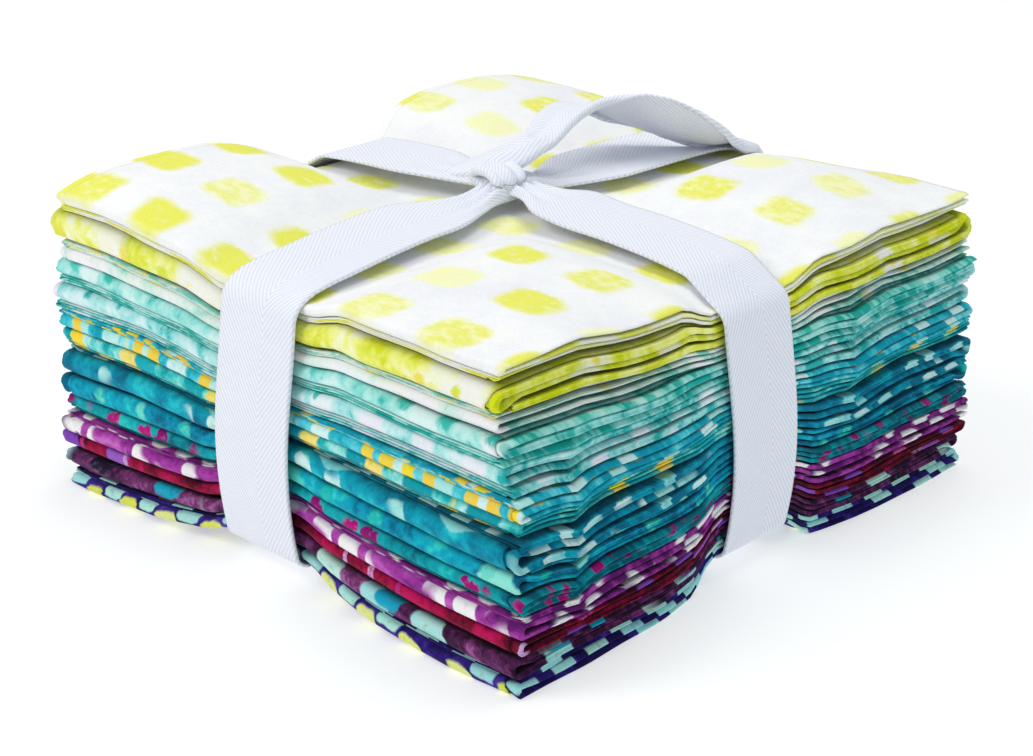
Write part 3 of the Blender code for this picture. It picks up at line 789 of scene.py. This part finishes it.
class Finish:
    """A material, with short names for the nodes that it is made of."""

    def __init__(self, name, roughness, sheen):
        self.material = bpy.data.materials.new(name)
        self.material.use_nodes = True
        self.tree = self.material.node_tree
        self.shader = self.tree.nodes["Principled BSDF"]
        set_inputs(self.shader, Roughness=roughness, Sheen_Weight=sheen, Sheen_Roughness=0.5,
                   Specular_IOR_Level=0.12)
        cut = self.node("ShaderNodeAttribute")
        cut.attribute_name = "cut"
        self.cut = cut.outputs["Vector"]
        parts = self.node("ShaderNodeSeparateXYZ", Vector=self.cut)
        self.x, self.y, self.inside = (parts.outputs[axis] for axis in "XYZ")

    def node(self, kind, **inputs):
        """A node with its inputs fed.  _ stands for the space in an input's name."""
        node = self.tree.nodes.new(kind)
        for name, value in inputs.items():
            self.feed(node.inputs[name.replace("_", " ")], value)
        return node

    def feed(self, socket, value):
        if isinstance(value, bpy.types.NodeSocket):
            self.tree.links.new(value, socket)
        else:
            socket.default_value = value

    def math(self, operation, *values, kind="ShaderNodeMath"):
        node = self.node(kind)
        node.operation = operation
        for socket, value in zip(node.inputs, values):
            self.feed(socket, value)
        return node.outputs[0]

    def noise(self, size, seed, detail=3.0, roughness=0.55, stretch=(1.0, 1.0), swirl=0.0):
        """Smooth noise about 0 to 1, with features of that size in millimetres."""
        scale = (stretch[0] / size, stretch[1] / size, 0.0)
        scaled = self.math("MULTIPLY", self.cut, scale, kind="ShaderNodeVectorMath")
        shift = (seed * 7.31, seed * 3.17, seed * 1.73)
        moved = self.math("ADD", scaled, shift, kind="ShaderNodeVectorMath")
        return self.node("ShaderNodeTexNoise", Vector=moved, Scale=1.0, Detail=detail,
                         Roughness=roughness, Distortion=swirl).outputs["Fac"]

    def wash(self, size, seed, stretch):
        """Watercolour blotches with finer ones in them, spread over 0 to 1."""
        broad = self.noise(size, seed, 4.0, 0.55, stretch, 0.25)
        fine = self.noise(size * 0.24, seed + 3.3, 4.0, 0.6, stretch)
        return self.step(self.math("MULTIPLY_ADD", fine, 0.5, broad), 0.54, 0.97, "LINEAR")

    def step(self, value, low, high, kind="SMOOTHSTEP"):
        """0 below low and 1 above high."""
        node = self.node("ShaderNodeMapRange", Value=value, From_Min=low, From_Max=high)
        node.interpolation_type = kind
        return node.outputs["Result"]

    def blend(self, share, first, second, kind="MIX"):
        node = self.node("ShaderNodeMix")
        node.data_type = "RGBA"
        node.blend_type = kind
        for number, value in ((0, share), (6, first), (7, second)):
            self.feed(node.inputs[number], value)
        return node.outputs[2]

    def darker(self, colour, factor):
        """The colour times a factor."""
        return self.blend(1.0, colour, factor, "MULTIPLY")

    def ramp(self, value, places, colours):
        node = self.node("ShaderNodeValToRGB", Fac=value)
        elements = node.color_ramp.elements
        while len(elements) < len(places):
            elements.new(0.5)
        for element, place, colour in zip(elements, places, colours):
            element.position = place
            element.color = colour
        return node.outputs["Color"]

    def relief(self, *bumps):
        """Bumps one on another, each a height, its strength and its depth in mm."""
        normal = None
        for height, strength, depth in bumps:
            node = self.node("ShaderNodeBump", Height=height, Strength=strength, Distance=depth * MM)
            if normal is not None:
                self.feed(node.inputs["Normal"], normal)
            normal = node.outputs[0]
        self.feed(self.shader.inputs["Normal"], normal)

    def lattice(self, motif, seed):
        """Mask of motifs that repeat on a lattice, some of them left out, and their chances."""
        places = []
        for k, (place, size, at, pitch) in enumerate((
                (self.x, motif.size_x, motif.at_x, motif.pitch_x),
                (self.y, motif.size_y, motif.at_y, motif.pitch_y))):
            warp = self.math("SUBTRACT", self.noise(size * 1.1, seed + 5.5 * k, 4.0), 0.5)
            warped = self.math("MULTIPLY_ADD", warp, motif.rough * size, place)
            places.append(self.math("DIVIDE", self.math("SUBTRACT", warped, at), pitch))
        column, row = places
        row_number = self.math("ROUND", row)
        column = self.math("MULTIPLY_ADD", row_number, motif.offset, column)
        column_number = self.math("ROUND", column)
        cell = self.node("ShaderNodeCombineXYZ", X=column_number, Y=row_number, Z=seed * 1.37)
        chance = self.node("ShaderNodeTexWhiteNoise", Vector=cell.outputs[0])
        powers = []
        for place, number, halves in ((column, column_number, 2.0 * motif.pitch_x / motif.size_x),
                                      (row, row_number, 2.0 * motif.pitch_y / motif.size_y)):
            far = self.math("MULTIPLY", self.math("SUBTRACT", place, number), halves)
            powers.append(self.math("POWER", self.math("ABSOLUTE", far), motif.corner))
        distance = self.math("POWER", self.math("ADD", *powers), 1.0 / motif.corner)
        mask = self.math("MULTIPLY", self.step(distance, 1.0 + motif.soft, 1.0 - motif.soft),
                         self.math("LESS_THAN", chance.outputs["Value"], motif.share))
        if motif.bunch:
            bunched = self.step(self.noise(motif.bunch, seed + 8.8, 1.0), 0.46, 0.52)
            mask = self.math("MULTIPLY", mask, bunched)
        return mask, chance.outputs["Color"]


# A motif's sizes are in millimetres on the flat cut, and at_y is measured from the
# fold at -Y.  corner is 2 for an oval and more for a square, share how many are
# printed, and bunch the size of the groups they come in, if any.
Motif = namedtuple("Motif", "tints pitch_x pitch_y at_x at_y size_x size_y corner rough soft "
                            "offset share bunch", defaults=(0,))
# The mottle runs through its colours at these places of the wash, 0 to 1.
Print = namedtuple("Print", "places colours size motifs stretch", defaults=((0.8, 1.1),))
PRINTS = {
    "cloth_01_white": Print(
        (0.05, 0.35, 0.6, 0.95), "EFEFF3 F3F3F5 F6F6F6 F9F9F6", 24,
        (Motif("ECEC62 F7F7C0", 25, 22.6, 5.5, 6.3, 13.8, 12.2, 3.6, 0.42, 0.24, 0, 1),), (1, 1)),
    "cloth_02_lime": Print(
        (0.12, 0.4, 0.68, 1), "F7F8DC F4F6A0 EDF06A D6DE1C", 8,
        (Motif("F6F5EA F5F6CE", 31, 13, 6, 1, 13, 8, 2.4, 1.4, 0.4, 0.5, 0.45),
         Motif("F2E35C DCE648", 13, 9, 2, 0, 4, 3, 2.2, 1.4, 0.45, 0.5, 0.5)), (0.8, 1)),
    "cloth_03_cream": Print(
        (0.12, 0.38, 0.68, 1), "F5F2F3 EDF3EF D2EEE4 7CCDBF", 9,
        (Motif("F4F2F6 E6F5F3", 23, 9, 4, 0, 15, 6, 2.5, 1, 0.3, 0.4, 0.6),
         Motif("F2E38E F0E7B2", 19, 11, 8, 3, 6, 4, 2.4, 1, 0.3, 0.5, 0.4)), (0.7, 1)),
    "cloth_04_mint": Print(
        (0.1, 0.42, 0.74, 1), "D9F5F1 B4ECE6 86DDD6 1DB0A6", 8,
        (Motif("EDF1F3 DDF5F1", 24, 9, 6, 1, 9, 5, 2.6, 0.9, 0.28, 0.5, 0.45),
         Motif("3CC0B2 5CCDC2", 15, 10, 2, 2, 5, 2.4, 2.2, 1.4, 0.4, 0.5, 0.5))),
    "cloth_05_ice": Print(
        (0.1, 0.4, 0.74, 1), "E6F4F6 C8EFEE 94DFDD 2BB4B2", 7,
        (Motif("EFEEF6 E6F3F5", 17, 8, 2, 0, 8, 5, 3, 0.9, 0.28, 0.3, 0.5),
         Motif("22B3AC 4CC9C4", 12, 7, 5, 2, 2.6, 2, 2, 1.2, 0.4, 0.3, 0.5))),
    "cloth_06_aqua": Print(
        (0.1, 0.38, 0.66, 0.94), "B2EDEF 6AD6E0 30BFD0 0E9CB4", 7,
        (Motif("D6F3F0 AEE9E4", 13, 8, 6, 1, 7, 5, 4, 0.5, 0.14, 0.5, 0.55),
         Motif("FADC2E F6D24A", 6.4, 7.5, 3, 0, 3.8, 5, 3.4, 0.75, 0.16, 0, 0.8, 23))),
    "cloth_07_pale_aqua": Print(
        (0.1, 0.36, 0.62, 0.88), "D3F3F0 9CE5DF 55CFCB 12A6AC", 8,
        (Motif("0A9CAC 18AFBC", 19, 9, 12, 0, 9, 7, 4, 0.5, 0.12, 0.5, 0.5),
         Motif("F8DB3C F8E28A", 11, 8, 3, 0, 6, 5, 2.6, 0.8, 0.18, 0.5, 0.7, 27))),
    "cloth_08_teal": Print(
        (0.1, 0.36, 0.64, 0.92), "2CC8D2 0CACC0 0695B0 03708E", 8,
        (Motif("D2F2EE A6E6E2", 10.5, 10, 2, 2, 5.6, 6, 3.6, 0.35, 0.1, 0, 0.85, 22),
         Motif("8FE0E2 C4F0EE", 41, 17, 22, -3, 15, 5, 1.25, 0.3, 0.08, 0.5, 0.8))),
    "cloth_09_deep_teal": Print(
        (0.1, 0.36, 0.64, 0.92), "34D0C8 08B0C6 0498B6 026A8A", 8,
        (Motif("4FD6C4 8FE8D8", 34, 11, 7, 1, 13, 6, 1.4, 0.8, 0.16, 0.5, 0.5),
         Motif("20BFB4 6FDCCB", 17, 9, 3, 0, 4, 3, 2, 1.2, 0.35, 0.5, 0.5))),
    "cloth_10_berry": Print(
        (0.1, 0.36, 0.66, 0.94), "28C6C2 0EACB4 0893A0 04667A", 8,
        (Motif("BA0A7A 8F0C6E", 6.3, 5, 3, 0, 5.2, 2.8, 2.4, 1.5, 0.18, 0.4, 0.75, 17),)),
    "cloth_11_orchid": Print(
        (0.1, 0.38, 0.66, 0.92), "CC6CC4 B448AE 9A3196 661A6C", 8,
        (Motif("F8F4F3 F1ECEF", 9.4, 12, -1, 1, 6.8, 8, 2.6, 0.25, 0.08, 0, 0.95, 17),
         Motif("7A1A72 5E1060", 16, 8, 5, 2, 5, 2, 2.2, 1.4, 0.35, 0.5, 0.5)), (0.5, 1.4)),
    "cloth_12_crimson": Print(
        (0.1, 0.36, 0.62, 0.88), "BE0F58 9C063E 74032C 46021C", 7,
        (Motif("9A5EC2 8248B8", 21, 8, 4, 0, 8, 7, 3.6, 0.6, 0.12, 0.4, 0.42),
         Motif("CFAEDF B82878", 9, 7, 7, 0, 1.6, 5, 2.5, 1, 0.2, 0.3, 0.4))),
    "cloth_13_mauve": Print(
        (0.1, 0.36, 0.62, 0.92), "A2629C 7C3872 5A2756 301034", 5,
        (Motif("BFEBDE A6E2E3", 17, 15, 2, 1, 10, 8, 3.2, 0.5, 0.08, 0.4, 0.7, 60),
         Motif("14A6C4 240E2C", 27, 13, 13, -2, 9, 6, 2.8, 0.7, 0.12, 0.4, 0.5)), (0.9, 1.1)),
    "cloth_14_purple": Print(
        (0.1, 0.36, 0.62, 0.92), "6148B0 442C94 301A78 1A0C50", 7,
        (Motif("DDE45E E6EB92", 14.6, 12, 4, 3, 7, 7, 4.5, 0.35, 0.07, 0, 0.75),
         Motif("B4EADB 9EDFE2", 14.6, 12, 11.3, -3, 7, 7, 4.5, 0.35, 0.07, 0, 0.75))),
}
PATCHY = (0.30, 0.45)       # where a motif's colour thins out
THINNED = 0.30              # by how much
END_SHADE_PAST = (73.0, 79.0)  # painted shade: past how far from its middle, in mm, a cut is painted towards the mottle's last, mostly darker colours
END_SHADE = 0.30               # by how much of the mottle's range
GAP_SHADE = 0.50            # painted shade: how much darker a cloth is painted deep in a gap
THREAD = 0.62               # pitch of the plain weave
THREAD_DEPTH = 0.05
PUCKER_DEPTH = 0.16


def cotton(name, number):
    """Hand-dyed cotton: a mottle, then its motifs, then the weave."""
    look = PRINTS[name]
    finish = Finish(name + "_cotton", 0.92, 0.04)
    wash = finish.wash(look.size, number + 1.0, look.stretch)
    # Painted shade: the mottle runs towards its last, mostly darker colours on the folded ends and inner
    # plies at -X and +X.
    end_shade = finish.step(finish.math("ABSOLUTE", finish.x), *END_SHADE_PAST)
    colour = finish.ramp(finish.math("MULTIPLY_ADD", end_shade, END_SHADE, wash), look.places,
                         srgb(look.colours))
    for k, motif in enumerate(look.motifs):
        mask, chance = finish.lattice(motif, number * 2.3 + k * 9.1 + 1.0)
        streaks = finish.noise(motif.size_x * 0.35, number + 21.0 + k, 3.0, 0.6, (1.0, 1.6))
        pick = finish.step(finish.math("MULTIPLY_ADD", streaks, 0.8, chance), 0.75, 1.05)
        tint = finish.blend(pick, *srgb(motif.tints))
        patchy = finish.step(streaks, *PATCHY)
        thick = finish.math("MULTIPLY_ADD", patchy, THINNED, 1.0 - THINNED)
        colour = finish.blend(finish.math("MULTIPLY", mask, thick), colour, tint)
    # Painted shade: the colour is darkened where the cloth lies deep in a gap between layers or plies.
    shadow = finish.math("MULTIPLY", finish.step(finish.inside, 0.25, 1.0), GAP_SHADE)
    colour = finish.darker(colour, finish.math("SUBTRACT", 1.0, shadow))

    turn = 2.0 * math.pi / THREAD
    over, under = (finish.math("SINE", finish.math("MULTIPLY", way, turn))
                   for way in (finish.x, finish.y))
    fuzz = finish.noise(0.9, 3.0, 4.0, 0.7)
    height = finish.math("MULTIPLY_ADD", finish.math("MULTIPLY", over, under), 0.5,
                         finish.math("MULTIPLY", fuzz, 1.4))
    finish.relief((finish.noise(11.0, 9.0, 3.0, 0.5), 1.0, PUCKER_DEPTH), (height, 0.6, THREAD_DEPTH))
    # Darker where the fine fuzz noise is low, the same noise that raises the weave's bumps.
    fuzz_tone = finish.math("MULTIPLY_ADD", fuzz, 0.16, 0.92)
    finish.feed(finish.shader.inputs["Base Color"], finish.darker(colour, fuzz_tone))
    return finish.material


RIB_PITCH = 1.75  # of the herringbone, along the tape
RIB_SLOPE = 1.45  # how far a rib runs along the tape for each unit across it
RIB_DEPTH = 0.10
TAPE_COLOURS = "DCE0EF F6F7FC"  # painted shade between the ribs, and the tape's own white on them
THREAD_PITCH = 0.55             # of the threads across the tape
TAPE_PUCKER = 0.35
SPINE = 2.2  # how far the herringbone's spine lies from the tape's middle


def twill():
    """White herringbone tape: ribs that lean out from a spine."""
    finish = Finish("white_twill", 0.85, 0.08)
    aside = finish.math("ABSOLUTE", finish.math("SUBTRACT", finish.x, SPINE))
    along = finish.math("MULTIPLY_ADD", aside, RIB_SLOPE, finish.y)
    rib = finish.math("SINE", finish.math("MULTIPLY", along, 2.0 * math.pi / RIB_PITCH))
    grain = finish.noise(0.5, 4.0, 3.0, 0.7)
    thread = finish.math("SINE", finish.math("MULTIPLY", finish.y, 2.0 * math.pi / THREAD_PITCH))
    rib = finish.math("MULTIPLY_ADD", thread, 0.25, rib)
    uneven = finish.math("MULTIPLY_ADD", finish.noise(6.0, 7.0, 3.0, 0.6), 1.2, 0.3)
    height = finish.math("MULTIPLY_ADD", finish.math("MULTIPLY", rib, uneven), 0.4, grain)
    finish.relief((finish.noise(9.0, 2.0, 2.0, 0.5), 1.0, TAPE_PUCKER), (height, 0.75, RIB_DEPTH))
    # Painted shade: the tape is darker and bluer between its ribs.
    colour = finish.blend(finish.step(height, -0.1, 1.0), *srgb(TAPE_COLOURS))
    finish.feed(finish.shader.inputs["Base Color"], colour)
    return finish.material


# ---- assembly

def finish_piece(obj, material, node):
    obj.data.materials.append(material)
    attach(obj, "root")
    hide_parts(node)


def build_cloths():
    base = -CLOTH_GAP / 2.0
    for number, cloth in enumerate(CLOTHS):
        obj = build_cloth(number, cloth, base)
        finish_piece(obj, cotton(cloth.name, number), cloth.name)
        base += cloth.height


def build_tape():
    tape = twill()
    pieces = [(build_band(band), "stretched", band.name) for band in BANDS]
    pieces.append((build_tail(), "draped", "tape_free_end"))
    pieces.append((build_collar(), "gathered", "tape_knot"))
    for (obj, length), held, node in pieces:
        finish_piece(obj, tape, node)


# ---- stage

# The camera, fitted to the photograph, whose frame is 1033 x 756 pixels.
PHOTO_WIDTH = 1033
FOCAL_PIXELS = 2168.0
SENSOR = 36.0
CAMERA_AZIMUTH = 43.84
CAMERA_ELEVATION = 22.22
CAMERA_PLACE = np.array((358.3, -374.4, 238.4))


def build_camera():
    azimuth, elevation = math.radians(CAMERA_AZIMUTH), math.radians(CAMERA_ELEVATION)
    back = Vector((math.sin(azimuth) * math.cos(elevation),
                   -math.cos(azimuth) * math.cos(elevation), math.sin(elevation)))
    right = Vector((math.cos(azimuth), math.sin(azimuth), 0.0))
    up = back.cross(right)
    data = bpy.data.cameras.new("photo_camera")
    data.sensor_width = SENSOR
    data.lens = FOCAL_PIXELS * SENSOR / PHOTO_WIDTH
    data.clip_start = 0.01
    camera = add_object("photo_camera", data)
    camera.matrix_world = Matrix.Translation(Vector((CAMERA_PLACE + CENTRE) * MM)) @ Matrix(
        (right, up, back)).transposed().to_4x4()
    bpy.context.scene.camera = camera


# Places and sizes of the stage are in metres.
Lamp = namedtuple("Lamp", "name place size watts colour")
LAMPS = (
    Lamp("key", (-0.55, -0.95, 1.05), 0.8, 9.0, (1.0, 1.0, 0.99)),
    Lamp("fill", (1.25, -0.35, 0.75), 1.1, 2.6, (0.56, 0.84, 1.0)),
    Lamp("top", (0.1, 0.35, 1.5), 1.1, 9.2, (1.0, 1.0, 0.99)),
)
LAMPS_AIM = Vector((0.0, 0.0, 0.04))
FLOOR_HALF = 4.0
FLOOR_GREY = (0.62, 0.62, 0.62, 1.0)
FLOOR_GLOW = 0.48  # keeps the floor as white as in a studio
SKY_COLOUR = (0.96, 0.98, 1.0, 1.0)
SKY_STRENGTH = 0.38


def build_stage():
    floor = bpy.data.meshes.new("floor")
    corners = [(x * FLOOR_HALF, y * FLOOR_HALF, 0) for x, y in ((-1, -1), (1, -1), (1, 1), (-1, 1))]
    floor.from_pydata(corners, [], [(0, 1, 2, 3)])
    material = bpy.data.materials.new("floor_white")
    material.use_nodes = True
    set_inputs(material.node_tree.nodes["Principled BSDF"], Base_Color=FLOOR_GREY, Roughness=0.9,
               Emission_Color=(1.0, 1.0, 1.0, 1.0), Emission_Strength=FLOOR_GLOW)
    floor.materials.append(material)
    add_object("floor", floor)

    world = bpy.data.worlds.new("studio")
    world.use_nodes = True
    set_inputs(world.node_tree.nodes["Background"], Color=SKY_COLOUR, Strength=SKY_STRENGTH)
    bpy.context.scene.world = world

    for lamp in LAMPS:
        data = bpy.data.lights.new(lamp.name, "AREA")
        data.shape = "DISK"
        data.size = lamp.size
        data.energy = lamp.watts
        data.color = lamp.colour
        light = add_object(lamp.name, data)
        light.location = lamp.place
        light.rotation_euler = (LAMPS_AIM - light.location).to_track_quat("-Z", "Y").to_euler()
    bpy.context.scene.view_settings.view_transform = "Standard"


build_camera()
build_cloths()
build_tape()
build_stage()
